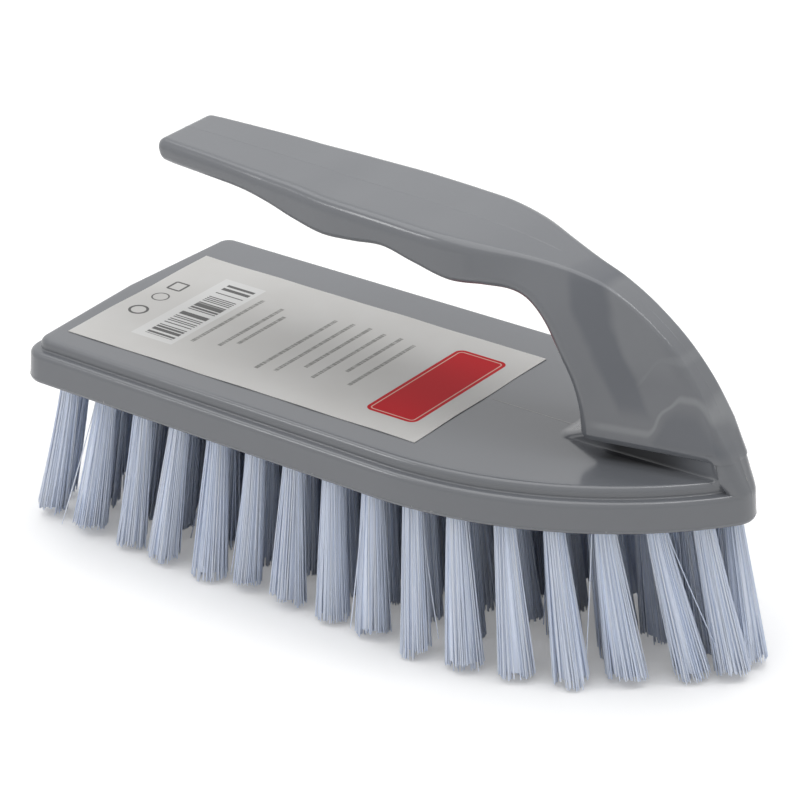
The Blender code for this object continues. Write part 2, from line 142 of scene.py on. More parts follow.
class Finish:
    """A material under way."""

    def __init__(self, name):
        self.material = bpy.data.materials.new(name)
        self.material.use_nodes = True
        self.tree = self.material.node_tree
        self.shader = self.tree.nodes["Principled BSDF"]

    def feed(self, socket, value):
        if isinstance(value, Signal):
            self.tree.links.new(value.socket, socket)
        else:
            socket.default_value = value

    def node(self, kind, settings, sockets, output=0):
        """Adds a node: its settings first, then the values or links of its sockets."""
        made = self.tree.nodes.new(kind)
        for name, value in settings.items():
            setattr(made, name, value)
        for name, value in sockets.items():
            self.feed(made.inputs[name], value)
        return Signal(self, made.outputs[output])

    def place(self):
        """The shaded point in metres. Every piece has its origin at that of the brush."""
        return self.node("ShaderNodeTexCoord", {}, {}, "Object")

    def split(self, vector):
        """X, Y and Z of a vector."""
        parts = self.node("ShaderNodeSeparateXYZ", {}, {"Vector": vector})
        return [Signal(self, output) for output in parts.socket.node.outputs]

    def noise(self, place, scale, detail=2.0, rough=0.5):
        sockets = {"Vector": place, "Scale": scale, "Detail": detail, "Roughness": rough}
        return self.node("ShaderNodeTexNoise", {}, sockets, "Fac")

    def blend(self, amount, below, above):
        """A colour between two others."""
        settings = {"data_type": "RGBA"}
        return self.node("ShaderNodeMix", settings, {0: amount, 6: below, 7: above}, 2)

    def bump(self, height, distance, under=None):
        sockets = {"Height": height, "Distance": distance, "Strength": 1.0}
        if under:
            sockets["Normal"] = under
        return self.node("ShaderNodeBump", {}, sockets)

    def set(self, **values):
        for name, value in values.items():
            self.feed(self.shader.inputs[name.replace("_", " ")], value)


def colour(red, green, blue):
    return (red, green, blue, 1.0)


print("finishes are drawn with Signal and Finish")

# %% [markdown]
# The moulding is polypropylene, grey right through, with the sheen of a polished mould. Up close
# such a part isn't even: it has broad soft clouds, a fine skin, and a few pale specks of dust and
# scuffs. Pale nicks show along its lower edge, where the thin flash of the mould's parting line
# was rubbed off, and the same parting line crosses the plate in front of the label. Each pattern
# here is a Signal between 0 and 1 that says where its mark is.

# %% Places and patterns on the moulding
FLASH_HEIGHT = 0.0007
LABEL_LIFT = 0.0003
FLASH_Z = body_low.z + FLASH_HEIGHT
PLATE_Z = label_low.z - LABEL_LIFT
SPECK_SCALE = 260.0
PARTING_HALF = 0.0001
PARTING_START = (0.016, 0.018)
PARTING_BAND = (PLATE_Z - 0.0003, PLATE_Z + 0.0003)
FLASH_BAND = (FLASH_Z - 0.0004, FLASH_Z + 0.0002)

moulded = Finish("grey_polypropylene")
place = moulded.place()
along, across, up = moulded.split(place)
cloud = moulded.noise(place, 38.0, 3.0)
skin = moulded.noise(place, 900.0, 2.0)
wave = moulded.noise(place, 60.0, 1.0)
warp = moulded.noise(place, 130.0, 1.0) - 0.5
ragged = moulded.noise(place, 760.0, 4.0, 0.7)
cells = {"Vector": place, "Scale": SPECK_SCALE}
dots = moulded.node("ShaderNodeTexVoronoi", {}, cells, "Distance")
rare = moulded.node("ShaderNodeTexVoronoi", {}, cells, "Color")
speck = (1 - dots.rises(0.05, 0.09)) * rare.rises(0.93, 0.94)
parting = across.within(-PARTING_HALF, PARTING_HALF, PARTING_HALF / 2)
parting = parting * up.within(*PARTING_BAND, 0.0001) * along.rises(*PARTING_START)
edge = up.within(*FLASH_BAND, 0.0002)
nick = edge * ragged.rises(0.60, 0.68) * cloud.rises(0.40, 0.60)
print("the plate is", round(PLATE_Z * 1000, 1), "mm over the floor")

# %% [markdown]
# The foot is the thickest part, so it cooled last, and the melt shrank there into shallow sink
# marks. Their reflections are painted into its colour: a broad dark band down its rear with a
# paler patch beside it, a pale highlight line that wanders across it like a wave, a fainter one
# above that, and painted shade along its lower edge. Each is a shape in the side view of the
# brush, shaken a little by noise. A pair of numbers is where a mark starts and where it is full,
# or its two ends, in metres from the middle of the brush or up from the floor. Painted shade
# darkens the slot under the foot, where little light reaches.

# %% Painted reflections on the foot
SHAKE = 0.0030
FOOT_START = (0.030, 0.040)
FOOT_LIFT = (PLATE_Z + 0.0035, PLATE_Z + 0.0060)
BAND_SLOPE = 0.62
BAND = (0.0815, 0.0880)
BAND_LEVELS = (0.0500, 0.0730)
PALE_RUN = 0.008
PALE_LEVELS = (0.0575, 0.0730)
LEVEL_SOFT = 0.0020
LINE_START = (0.0445, 0.0480)
LINE_LEVEL = 0.0466
LINE_RISE = 0.0074
LINE_CLIMB = (0.0563, 0.0615)
LINE_FALL = (0.0635, 0.0725)
ARC_ENDS = (0.0540, 0.0670)
ARC_LEVEL = 0.0555
ARC_RISE = 0.0050
ARC_CLIMB = (0.0530, 0.0575)
ARC_FALL = (0.0620, 0.0690)

on_foot = along.rises(*FOOT_START) * up.rises(*FOOT_LIFT)
shaken = along + warp * SHAKE
slant = shaken + up * BAND_SLOPE
# A painted dark reflection runs down the rear of the foot, with a paler painted reflection beside
# it.
painted_dark_band = slant.within(*BAND, 0.0010) * up.within(*BAND_LEVELS, LEVEL_SOFT) * on_foot
painted_pale_patch = slant.within(BAND[1], BAND[1] + PALE_RUN, 0.0012)
painted_pale_patch = painted_pale_patch * up.within(*PALE_LEVELS, LEVEL_SOFT) * on_foot
# A painted highlight line wanders across the foot, with a fainter painted highlight arc above it.
line_z = LINE_LEVEL + LINE_RISE * shaken.rises(*LINE_CLIMB) * (1 - shaken.rises(*LINE_FALL))
above_line = up - line_z
line = (1 - abs(above_line).rises(0.0001, 0.0011)) * shaken.rises(*LINE_START)
arc_z = ARC_LEVEL + ARC_RISE * shaken.rises(*ARC_CLIMB) * (1 - shaken.rises(*ARC_FALL))
painted_highlight_arc = (1 - abs(up - arc_z).rises(0.0002, 0.0012)) * shaken.within(*ARC_ENDS, 0.0010)
# Painted shade darkens the foot below the painted highlight line.
low = (1 - above_line.rises(-0.0045, -0.0002)) * on_foot
print("the pale line wanders", LINE_RISE * 1000, "mm up and down")

# %% Painted shade under the foot, and the finish
GREY = colour(0.134, 0.141, 0.155)
GREY_PALE = colour(0.150, 0.157, 0.172)
# Colours of the painted shade and the painted highlight on the foot.
GREY_PAINTED_SHADE = colour(0.080, 0.088, 0.106)
GREY_PAINTED_HIGHLIGHT = colour(0.25, 0.26, 0.27)
# Colour of the painted shade in the slot under the foot.
PAINTED_SLOT_SHADE = colour(0.030, 0.030, 0.033)
NICK = colour(0.48, 0.46, 0.42)
GLOSS = 0.8
SLOT_TAPER = 0.27
SLOT_SIDE = (0.0222, 0.0204)
SLOT_ENDS = (0.0470, 0.0650)
SLOT_LEVELS = (PLATE_Z - 0.0004, PLATE_Z + 0.0036)
SKIN_DEPTH = 0.000004
WAVE_DEPTH = 0.00008
PARTING_DEPTH = 0.00006

# Where the slot under the foot gets its painted shade.
under_foot = (abs(across) + along * SLOT_TAPER).rises(*SLOT_SIDE)
painted_slot_shade = under_foot * along.within(*SLOT_ENDS, LEVEL_SOFT) * up.within(*SLOT_LEVELS, 0.0001)
# Painted highlights lighten the foot, and the painted dark band and painted lower shade darken it.
painted_highlights = (line * 0.50).most(painted_highlight_arc * 0.22).most(painted_pale_patch * 0.16) * on_foot
base = moulded.blend(cloud.rises(0.35, 0.75) * 0.35, GREY, GREY_PALE)
base = moulded.blend((painted_dark_band * 0.75).most(low * 0.70), base, GREY_PAINTED_SHADE)
base = moulded.blend(painted_highlights, base, GREY_PAINTED_HIGHLIGHT)
base = moulded.blend((speck * 0.35).most(nick * 0.5).most(parting * 0.32), base, NICK)
# Painted shade in the slot under the foot.
base = moulded.blend(painted_slot_shade * 0.8, base, PAINTED_SLOT_SHADE)
relief = moulded.bump(wave * WAVE_DEPTH + parting * PARTING_DEPTH, 1.0)
moulded.set(
    Base_Color=base,
    Roughness=0.12 + cloud * 0.08 + skin * 0.05 + nick * 0.3,
    Specular_IOR_Level=GLOSS,
    Normal=moulded.bump(skin, SKIN_DEPTH, relief),
)
print("moulding finish:", len(moulded.tree.nodes), "nodes")

# %% [markdown]
# In plan the block is pointed like a flat iron: a slightly veed rear, nearly straight sides, and
# two long arcs that meet in a round nose. One half is drawn as a list of points, and the other
# half is its mirror image.

# %% The block's outline
LENGTH = body_high.x - body_low.x
HALF = body_high.y
REAR_TAPER = 0.0008
REAR_VEE = 0.0016
SIDE_SHARE = 0.59
RIM_WIDTH = 0.0024
PLATE_CORNER = 0.0028
PLATE_NOSE = 0.0028
REAR_SHARES = (0, 0.04, 0.3, 0.6, 0.85)
CORNER_STEPS = 10
SIDE_STEPS = 16
ARC_STEPS = 60
NOSE_STEPS = 16


def rounded(before, corner, after, radius, steps):
    """Points of the arc that rounds a corner."""
    back = (before - corner).normalized()
    ahead = (after - corner).normalized()
    half = math.acos(max(-1.0, min(1.0, back.dot(ahead)))) / 2
    centre = corner + (back + ahead).normalized() * (radius / math.sin(half))
    reach = radius / math.tan(half)
    start = corner + back * reach - centre
    sweep = start.angle_signed(corner + ahead * reach - centre)
    points = []
    for i in range(steps + 1):
        turn = -sweep * i / steps
        points.append(centre + Vector((
            start.x * math.cos(turn) - start.y * math.sin(turn),
            start.x * math.sin(turn) + start.y * math.cos(turn),
        )))
    return points


def arc(centre, radius, start, end, steps):
    """Points of an arc, its angles measured from +Y towards +X."""
    angles = [start + (end - start) * i / steps for i in range(steps + 1)]
    return [centre + radius * Vector((math.sin(a), math.cos(a))) for a in angles]


def half_outline():
    """One half of the block's edge, from the middle of the rear to the tip of the nose."""
    nose = RIM_WIDTH + PLATE_NOSE
    side = SIDE_SHARE * LENGTH
    run = LENGTH - nose - side
    radius = (run ** 2 + HALF ** 2 - nose ** 2) / (2 * (HALF - nose))
    apex = Vector((0, 0))
    shoulder = Vector((side, HALF))
    rear = Vector((REAR_VEE, HALF - REAR_TAPER))
    corner = rounded(apex, rear, shoulder, RIM_WIDTH + PLATE_CORNER, CORNER_STEPS)
    points = [corner[0] * share for share in REAR_SHARES] + corner
    points += [corner[-1].lerp(shoulder, i / SIDE_STEPS) for i in range(1, SIDE_STEPS)]
    centre = Vector((side, HALF - radius))
    nose_centre = Vector((LENGTH - nose, 0))
    reach = nose_centre - centre
    turn = math.atan2(reach.x, reach.y)
    points += arc(centre, radius, 0, turn, ARC_STEPS)
    points += arc(nose_centre, nose, turn, math.pi / 2, NOSE_STEPS)[1:]
    return points


def mirrored(half):
    return half + [Vector((p.x, -p.y)) for p in reversed(half[1:-1])]


def inset(outline, distance):
    """Moves each side of a closed outline inwards."""
    count = len(outline)
    moved = []
    for i in range(count):
        before = (outline[i] - outline[i - 1]).normalized()
        after = (outline[(i + 1) % count] - outline[i]).normalized()
        left = Vector((-before.y, before.x))
        right = Vector((-after.y, after.x))
        moved.append(outline[i] - (left + right) / (1 + left.dot(right)) * distance)
    return moved


edge_line = mirrored(half_outline())
print("the outline has", len(edge_line), "points and is", round(LENGTH * 1000, 1), "mm long")

# %% [markdown]
# The tufts stand in a field that is planned before the block is made, because each needs its hole.
# The outer line follows the edge at an even pitch, and a staggered grid fills the middle.

# %% Places of the tufts
TUFT_EDGE = 0.0047
TUFT_REAR = 0.0112
TUFT_NOSE = 0.0060
ROW_SHARE = 0.14
CLEARANCE_SHARE = 0.835
HOLE_RADIUS = 0.0023
HOLE_DEPTH = 0.0045


def side_line(distance):
    """One half of the edge drawn in by a distance, without its rear face."""
    count = len(half_outline())
    return inset(edge_line, distance)[len(REAR_SHARES):count]


def width_at(line, x):
    for a, b in zip(line, line[1:]):
        if a.x <= x <= b.x and b.x > a.x:
            return a.y + (b.y - a.y) * (x - a.x) / (b.x - a.x)
    return 0.0


def walk(line, distance):
    for a, b in zip(line, line[1:]):
        step = (b - a).length
        if distance <= step:
            return a.lerp(b, distance / step)
        distance -= step
    return line[-1]


guide = side_line(TUFT_EDGE)
path = [Vector((TUFT_REAR, width_at(guide, TUFT_REAR)))] + [p for p in guide if p.x > TUFT_REAR]
path_length = sum((b - a).length for a, b in zip(path, path[1:]))
pitch = (path_length - TUFT_NOSE) / (len(rows) - 1)
outer = [walk(path, i * pitch) for i in range(len(rows))]
spacing = ROW_SHARE * 2 * HALF
field = []
for i, edge_tuft in enumerate(outer):
    x = TUFT_REAR + i * pitch
    grid = [(x - pitch / 2, 0), (x, spacing), (x - pitch / 2, 2 * spacing)]
    kept = [Vector(p) for p in grid if p[1] < width_at(guide, p[0])
            and min((Vector(p) - other).length for other in outer) > CLEARANCE_SHARE * pitch]
    half = [edge_tuft] + kept
    field.append(half + [Vector((p.x, -p.y)) for p in half if p.y > 0])
print("tufts in each row:", [len(row) for row in field])
print("pitch of the outer line:", round(pitch * 1000, 2), "mm")

# %% [markdown]
# The block is a stack of rings, each the outline drawn in by a little at one height. The profile
# has a fine bead near its foot, where the halves of the mould met, a drafted wall, a rounded rim,
# a groove, and the raised plate with its own rounded edge. Underneath, the flat face is filled
# round the tuft holes.

# %% The block
UNDER_Z = body_low.z
GROOVE_DEPTH = 0.0022
GROOVE_Z = PLATE_Z - GROOVE_DEPTH
BEAD = 0.00007
BEAD_HEIGHT = 0.00012
RIM_ROUND = 0.0012
PLATE_ROUND = 0.0012
GROOVE_ROUND = 0.0003
LOW_INSET = 0.0002
LOW_ROUND = 0.0004
UNDER_MARGIN = 0.0016
PLATE_MARGIN = 0.0046
LEAN = math.tan(math.radians(3.0))
HOLE_SIDES = 20
PROFILE_STEPS = 6


def rounded_line(corners, steps):
    """A line of points through corners, each given with its radius."""
    line = [corners[0][0]]
    for (before, _), (corner, radius), (after, _) in zip(corners, corners[1:], corners[2:]):
        line += rounded(before, corner, after, radius, steps) if radius else [corner]
    return line + [corners[-1][0]]


def stand(point, height):
    return (body_low.x + point.x, point.y, height)


def skin_rings(bm, rings):
    """Joins a list of equally long rings with faces and returns their vertices.

    A place that a ring leaves empty is None. The face there is wider, and takes in the points of
    the ring that fills it.
    """
    made = [[point and bm.verts.new(point) for point in ring] for ring in rings]
    count = len(made[0])
    for low, high in zip(made, made[1:]):
        shared = [i for i in range(count) if low[i] and high[i]]
        for i, j in zip(shared, shared[1:] + [shared[0] + count]):
            near = [low[k % count] for k in range(i, j + 1)]
            far = [high[k % count] for k in range(j, i - 1, -1)]
            bm.faces.new([vert for vert in near + far if vert])
    return made


def mesh_piece(name, bm):
    bmesh.ops.recalc_face_normals(bm, faces=bm.faces)
    mesh = bpy.data.meshes.new(name)
    bm.to_mesh(mesh)
    bm.free()
    mesh.shade_smooth()
    piece = bpy.data.objects.new(name, mesh)
    bpy.context.scene.collection.objects.link(piece)
    return piece


wall = BEAD + (GROOVE_Z - FLASH_Z) * LEAN
profile = rounded_line([
    # inset and height, radius
    (Vector((UNDER_MARGIN, UNDER_Z)), 0),
    (Vector((LOW_INSET, UNDER_Z)), LOW_ROUND),
    (Vector((BEAD, FLASH_Z - BEAD_HEIGHT)), 0),
    (Vector((0, FLASH_Z)), 0),
    (Vector((BEAD, FLASH_Z + BEAD_HEIGHT)), 0),
    (Vector((wall, GROOVE_Z)), RIM_ROUND),
    (Vector((RIM_WIDTH, GROOVE_Z)), GROOVE_ROUND),
    (Vector((RIM_WIDTH + (PLATE_Z - GROOVE_Z) * LEAN, PLATE_Z)), PLATE_ROUND),
    (Vector((PLATE_MARGIN, PLATE_Z)), 0),
], PROFILE_STEPS)
block_mesh = bmesh.new()
levels = [[stand(p, step.y) for p in inset(edge_line, step.x)] for step in profile]
rings = skin_rings(block_mesh, levels)
block_mesh.faces.new(rings[-1])
rims = [rings[0]]
for tuft in (p for row in field for p in row):
    turns = [math.tau * i / HOLE_SIDES for i in range(HOLE_SIDES)]
    circle = [tuft + HOLE_RADIUS * Vector((math.cos(a), math.sin(a))) for a in turns]
    mouth, floor = skin_rings(
        block_mesh, [[stand(p, z) for p in circle] for z in (UNDER_Z, UNDER_Z + HOLE_DEPTH)]
    )
    block_mesh.faces.new(floor)
    rims.append(mouth)
around = [block_mesh.edges.get((ring[i - 1], ring[i])) for ring in rims for i in range(len(ring))]
bmesh.ops.triangle_fill(block_mesh, edges=around, use_beauty=True, normal=(0, 0, -1))
block = mesh_piece("moulding", block_mesh)
print("block:", len(block.data.polygons), "faces with", len(rims) - 1, "holes")

# %% [markdown]
# The handle is a bar with rounded edges over four finger hollows. In front it narrows on top,
# turns down and becomes the foot on the nose, which stands on a narrower web. A loft suits it:
# each section is a rounded trapezium between a top point and an underside point, and a smooth
# curve through the chosen sections gives those between. A fine raised line along the middle is
# the seam of the mould.

# %% Sections of the handle
HANDLE_REAR = 0.0166
RISE = body_high.z - PLATE_Z
HANDLE_HALF = 0.0124
TOP_ROUND = 0.0025
UNDER_ROUND = 0.0016
SEAM_HALF = 0.00016
SEAM_RISE = 0.00005
ROUND_LIMIT = 0.48
CHEEK_POINTS = 5
SECTION_STEPS = 10
SPAN_STEPS = 14
GRIP_SHARES = (
    # top x, top z, under x, under z, top width, under width
    (0.005, 1.002, 0.010, 0.884, 0.720, 0.700),
    (0.094, 1.000, 0.094, 0.880, 0.790, 0.765),
    (0.169, 0.995, 0.171, 0.874, 0.855, 0.830),
    (0.223, 0.991, 0.223, 0.847, 0.900, 0.875),
    (0.269, 0.988, 0.269, 0.808, 0.940, 0.905),
    (0.324, 0.980, 0.324, 0.779, 1.010, 0.945),
    (0.379, 0.978, 0.379, 0.795, 1.040, 0.970),
    (0.433, 0.974, 0.433, 0.818, 1.045, 0.985),
    (0.485, 0.968, 0.485, 0.781, 1.035, 0.990),
    (0.543, 0.962, 0.546, 0.743, 0.980, 1.000),
    (0.604, 0.947, 0.602, 0.762, 0.780, 1.000),
    (0.664, 0.918, 0.640, 0.760, 0.510, 0.985),
    (0.720, 0.880, 0.670, 0.727, 0.330, 0.970),
    (0.771, 0.832, 0.698, 0.640, 0.260, 0.950),
    (0.823, 0.742, 0.724, 0.498, 0.240, 0.930),
    (0.876, 0.605, 0.744, 0.380, 0.240, 0.910),
    (0.918, 0.440, 0.756, 0.265, 0.270, 0.895),
    (0.950, 0.260, 0.760, 0.175, 0.310, 0.880),
)


def along_reach(share):
    return HANDLE_REAR + share * (LENGTH - HANDLE_REAR)


def eased(p, q, r, s, t):
    """A number a share t of the way from q to r, on the smooth curve through all four."""
    slope = r - p
    bend = 2 * p - 5 * q + 4 * r - s
    twist = 3 * q - p - 3 * r + s
    return q + t * (slope + t * (bend + t * twist)) / 2


def curve_through(rows, steps):
    """Rows of numbers along a smooth curve through all of the given rows."""
    filled = []
    last = len(rows) - 1
    for k in range(last):
        four = (rows[max(k - 1, 0)], rows[k], rows[k + 1], rows[min(k + 2, last)])
        for i in range(steps):
            filled.append([eased(*numbers, i / steps) for numbers in zip(*four)])
    return filled + [list(rows[last])]


def section(
    top, under, top_half, under_half, top_round, under_round, cheeks=(None,) * CHEEK_POINTS
):
    """A rounded trapezium that stands between an underside point and a top point.

    Cheeks are more points of its sides: place along the block, and half width. Its seam is a
    fine raised line in the middle of top and underside.
    """
    across = top - under
    depth = across.length
    up = across / depth
    corners = [Vector(c) for c in (
        (-under_half, 0), (under_half, 0), (top_half, depth), (-top_half, depth),
    )]
    radii = (under_round, under_round, top_round, top_round)
    points = []
    for i, corner in enumerate(corners):
        before = corners[i - 1]
        after = corners[(i + 1) % 4]
        limit = ROUND_LIMIT * min((corner - before).length, (after - corner).length)
        points += rounded(before, corner, after, min(radii[i], limit), SECTION_STEPS)
        if i in (0, 2):
            level = points[-1].y
            out = SEAM_RISE if i else -SEAM_RISE
            side = SEAM_HALF if i else -SEAM_HALF
            points += [Vector((side, level)), Vector((0, level + out)), Vector((-side, level))]
        else:
            way = 1 if i == 1 else -1
            points += [c and Vector((way * c[1], c[0] - under.x)) for c in cheeks[::way]]
    return [p and stand(Vector((under.x + up.x * p.y, p.x)), under.y + up.y * p.y) for p in points]


grip = curve_through([(
    along_reach(top_x), PLATE_Z + top_z * RISE, along_reach(under_x), PLATE_Z + under_z * RISE,
    top_width * HANDLE_HALF, under_width * HANDLE_HALF,
) for top_x, top_z, under_x, under_z, top_width, under_width in GRIP_SHARES], SPAN_STEPS)
print("the handle has", len(grip), "sections between its end and the heel")

# %% [markdown]
# The foot is the lower end of the same loft. Its underside is rounded and stands a few
# millimetres over the plate, and a web inside it reaches down into the block. At the nose, foot
# and block run into each other without a step.

# %% Rings of the end, the grip and the foot
END_ROUND = 0.0020
POST_ROUND = 0.0012
RIDGE_SHARES = (0.60, 0.16)
HEEL_SHARE = 0.761
HEEL_HALF = 0.870 * HANDLE_HALF
FOOT_GAP = 0.0035
FOOT_ROUND = 0.0015
FRONT_LEAN = 0.33
FRONT_BOW = 0.091
FRONT_GAP = 0.0003
FOOT_FRONT_HALF = 0.325 * HANDLE_HALF
FOOT_FRONT_ROUND = 0.0026
RING_STEP = 0.00002
CHEEK_GAP = 0.0059
CHEEK_RUN = 0.0010
CHEEK_DRAW = 0.4
WEB_SINK = 0.0036
WEB_HALF = 0.0057
WEB_START = 0.0005
WEB_RUN_OUT = 0.0078
WEB_ROUND = 0.0026
WEB_FILLET = 0.0006
END_STEPS = 6
FOOT_STEPS = 8
PROW_STEPS = 12
PROW = (
    # height, distance of the front from the nose, its half width and rounding, and distance and
    # half width of the cheek
    (PLATE_Z, 0.0016, 0.0041, 0.0033, 0.0048, 0.0042),
    (GROOVE_Z, 0.00045, 0.0035, 0.0032, 0.0041, 0.0034),
    (PLATE_Z - WEB_SINK, 0.00035, 0.0037, 0.0034, 0.0041, 0.0034),
)


def front_at(height):
    """Front of the foot at a height. It leans back from the nose of the block."""
    rise = height - (PLATE_Z - WEB_SINK)
    return LENGTH - FRONT_GAP - rise * FRONT_LEAN - rise ** 2 / FRONT_BOW


def end_rings(row):
    """Sections of the rear end, whose face has a rounded edge."""
    rings = []
    for i in range(END_STEPS):
        turn = math.pi / 2 * i / END_STEPS
        draw = END_ROUND * (1 - math.sin(turn))
        run = END_ROUND * (1 - math.cos(turn))
        rings.append(section(
            Vector((row[0] + run, row[1] - draw)), Vector((row[2] + run, row[3] + draw)),
            row[4] - draw, row[5] - draw, TOP_ROUND, UNDER_ROUND,
        ))
    return rings


def grip_rings(rows):
    """Sections of the grip and post. Their top edges tighten into the ridge."""
    rings = []
    start, ease = RIDGE_SHARES
    for k, row in enumerate(rows):
        if k and row[0] < rows[0][0] + 2 * END_ROUND:
            continue
        tight = min(max((k / (len(rows) - 1) - start) / ease, 0), 1)
        ahead = 0 if k else END_ROUND
        rings.append(section(
            Vector((row[0] + ahead, row[1])), Vector((row[2] + ahead, row[3])),
            row[4], row[5], TOP_ROUND + (POST_ROUND - TOP_ROUND) * tight, UNDER_ROUND,
        ))
    return rings


def side_half(x, rear, rear_half, front, front_half):
    """Half width at a place on a straight side between two others."""
    return rear_half + (front_half - rear_half) * (x - rear) / (front - rear)


def cheek_line(start, end):
    """Points of a soft step between two places of a side."""
    line = []
    for i in range(CHEEK_POINTS):
        t = i / (CHEEK_POINTS - 1)
        ease = t * t * (3 - 2 * t)
        line.append((start[0] + (end[0] - start[0]) * t, start[1] + (end[1] - start[1]) * ease))
    return line


def foot_rings():
    """Level sections of the foot's rounded underside and of the web and prow below it."""
    floor = PLATE_Z + FOOT_GAP
    heel = along_reach(HEEL_SHARE)
    shut = LENGTH - CHEEK_GAP
    foot_side = (heel, HEEL_HALF, front_at(floor), FOOT_FRONT_HALF)
    rings = []
    for i in range(FOOT_STEPS + 1):
        turn = math.pi / 2 * i / FOOT_STEPS
        draw = FOOT_ROUND * (1 - math.cos(turn))
        height = floor + FOOT_ROUND * (1 - math.sin(turn))
        cheek_x = front_at(height) - FOOT_FRONT_ROUND
        cheek_half = side_half(cheek_x, *foot_side)
        begin = cheek_x - CHEEK_RUN
        begin_half = side_half(begin, *foot_side) - draw * CHEEK_DRAW
        rings.append(section(
            Vector((front_at(height), height)), Vector((heel + draw, height)),
            FOOT_FRONT_HALF, HEEL_HALF - draw, FOOT_FRONT_ROUND, UNDER_ROUND,
            cheek_line((begin, begin_half), (cheek_x, cheek_half)),
        ))
    chosen = [(
        floor - RING_STEP, front_at(floor), FOOT_FRONT_HALF, FOOT_FRONT_ROUND,
        cheek_x, cheek_half,
    )]
    for height, back, front_half, front_round, cheek_back, cheek_half in PROW:
        chosen.append((
            height, LENGTH - back, front_half, front_round, LENGTH - cheek_back, cheek_half,
        ))
    prow = curve_through(chosen, PROW_STEPS)
    for height, front, front_half, front_round, cheek_x, cheek_half in prow:
        drop = (floor - height) / FOOT_GAP
        rear = heel + WEB_START - min(drop, 1) * (WEB_RUN_OUT + WEB_START)
        near = min(max(1 - (height - PLATE_Z) / WEB_FILLET, 0), 1)
        flare = WEB_FILLET * (1 - math.sqrt(1 - near ** 2))
        half = side_half(shut, rear, WEB_HALF, LENGTH, FOOT_FRONT_HALF)
        rings.append(section(
            Vector((front, height)), Vector((rear - flare, height)),
            front_half, WEB_HALF + flare, front_round, WEB_ROUND,
            cheek_line((min(shut, cheek_x - CHEEK_RUN), half + flare), (cheek_x, cheek_half)),
        ))
    return rings


handle_mesh = bmesh.new()
loft = skin_rings(handle_mesh, end_rings(grip[0]) + grip_rings(grip) + foot_rings())
for ring in (loft[0], loft[-1]):
    handle_mesh.faces.new([vert for vert in ring if vert])
handle = mesh_piece("handle", handle_mesh)
print("handle:", len(handle.data.polygons), "faces")

# %% [markdown]
# Block and handle are one piece of plastic, so they are joined with an exact Boolean. Wide flat
# faces beside narrow round ones shade badly with plain averaged normals, so the normals are
# weighted by the area of the faces.

# %% Join block and handle
SHARP_ANGLE = math.radians(32)
FACE_WEIGHT = 60

union = block.modifiers.new("Union", "BOOLEAN")
union.operation = "UNION"
union.solver = "EXACT"
union.object = handle
graph = bpy.context.evaluated_depsgraph_get()
joined = bpy.data.meshes.new_from_object(block.evaluated_get(graph))
block.modifiers.remove(union)
block.data = joined
bpy.data.objects.remove(handle)
joined.shade_smooth()
joined.set_sharp_from_angle(angle=SHARP_ANGLE)
joined.materials.clear()
joined.materials.append(moulded.material)
weights = block.modifiers.new("Weighted normals", "WEIGHTED_NORMAL")
weights.keep_sharp = True
weights.weight = FACE_WEIGHT
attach(block, "root")
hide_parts("body")
print("moulding:", len(joined.polygons), "faces")

# %% [markdown]
# The label is coated paper, stuck a little askew on the plate. Its print is drawn in the material
# as shapes measured in millimetres from the middle of the sheet: a white patch with bars, ruled
# lines, a red block with a thin pale border, and three small plain marks.

# %% Finish of the label
MM = 0.001
PAPER = colour(0.535, 0.528, 0.515)
WHITE = colour(0.62, 0.62, 0.615)
INK = colour(0.05, 0.05, 0.05)
RULE = colour(0.20, 0.20, 0.19)
RED = colour(0.45, 0.006, 0.012)
BORDER = colour(0.62, 0.42, 0.36)
LABEL_TURN = math.radians(0.37)
SOFT = 0.05

label_centre = (label_low + label_high) / 2
printed = Finish("printed_label")
place = printed.place()
turned = printed.node("ShaderNodeMapping", {"vector_type": "TEXTURE"}, {
    "Vector": place,
    "Location": (label_centre.x, label_centre.y, 0),
    "Rotation": (0, 0, LABEL_TURN),
    "Scale": (MM, MM, MM),
})
x, y, _ = printed.split(turned)


def box(x_low, x_high, y_low, y_high):
    return x.within(x_low, x_high, SOFT) * y.within(y_low, y_high, SOFT)


def rounded_box(x_mid, y_mid, x_half, y_half, radius):
    """Distance from the edge of a rounded box, below zero inside it."""
    far_x = (abs(x - x_mid) - (x_half - radius)).most(0.0)
    far_y = (abs(y - y_mid) - (y_half - radius)).most(0.0)
    return (far_x * far_x + far_y * far_y).maths("SQRT") - radius


def ring(x_mid, y_mid, radius, width):
    away = (x - x_mid) * (x - x_mid) + (y - y_mid) * (y - y_mid)
    return abs(away.maths("SQRT") - radius).rises(width + SOFT, width - SOFT)


print("label print is drawn at", round(math.degrees(LABEL_TURN), 2), "degrees to the plate")

# %% Print of the label
# A box is given by its ends along and across the label. A mark is given by its middle, then its
# radius and width, or its half sizes and the rounding of its corners.
PATCH = (-31.2, -21.2, -15.1, 15.4)
BARS = (-29.0, -22.3, -13.4, 13.4)
BARS_PER_MM = 2.8
RINGS = ((-36.5, -6.1, 1.8, 0.28), (-36.7, 1.1, 1.7, 0.16))
SQUARE = (-36.8, 6.9, 1.5, 1.7, 0.3)
RED_BLOCK = (31.2, 0.1, 5.8, 15.8, 1.7)
BORDER_INSET = 0.85
RULE_HALF = 0.45
RULE_BY_BARS = (-18.9, -11.5, 11.5)
RULES = (
    (-13.4, -10.1, 10.5), (-10.9, -7.3, 7.9), (-1.6, -13.8, 12.4), (2.2, -12.6, 13.0),
    (6.0, -8.0, 13.4), (9.8, -11.0, 12.8), (13.6, -5.0, 13.2), (17.4, -9.6, 12.0),
)
ONE_LINE = {"noise_dimensions": "1D"}


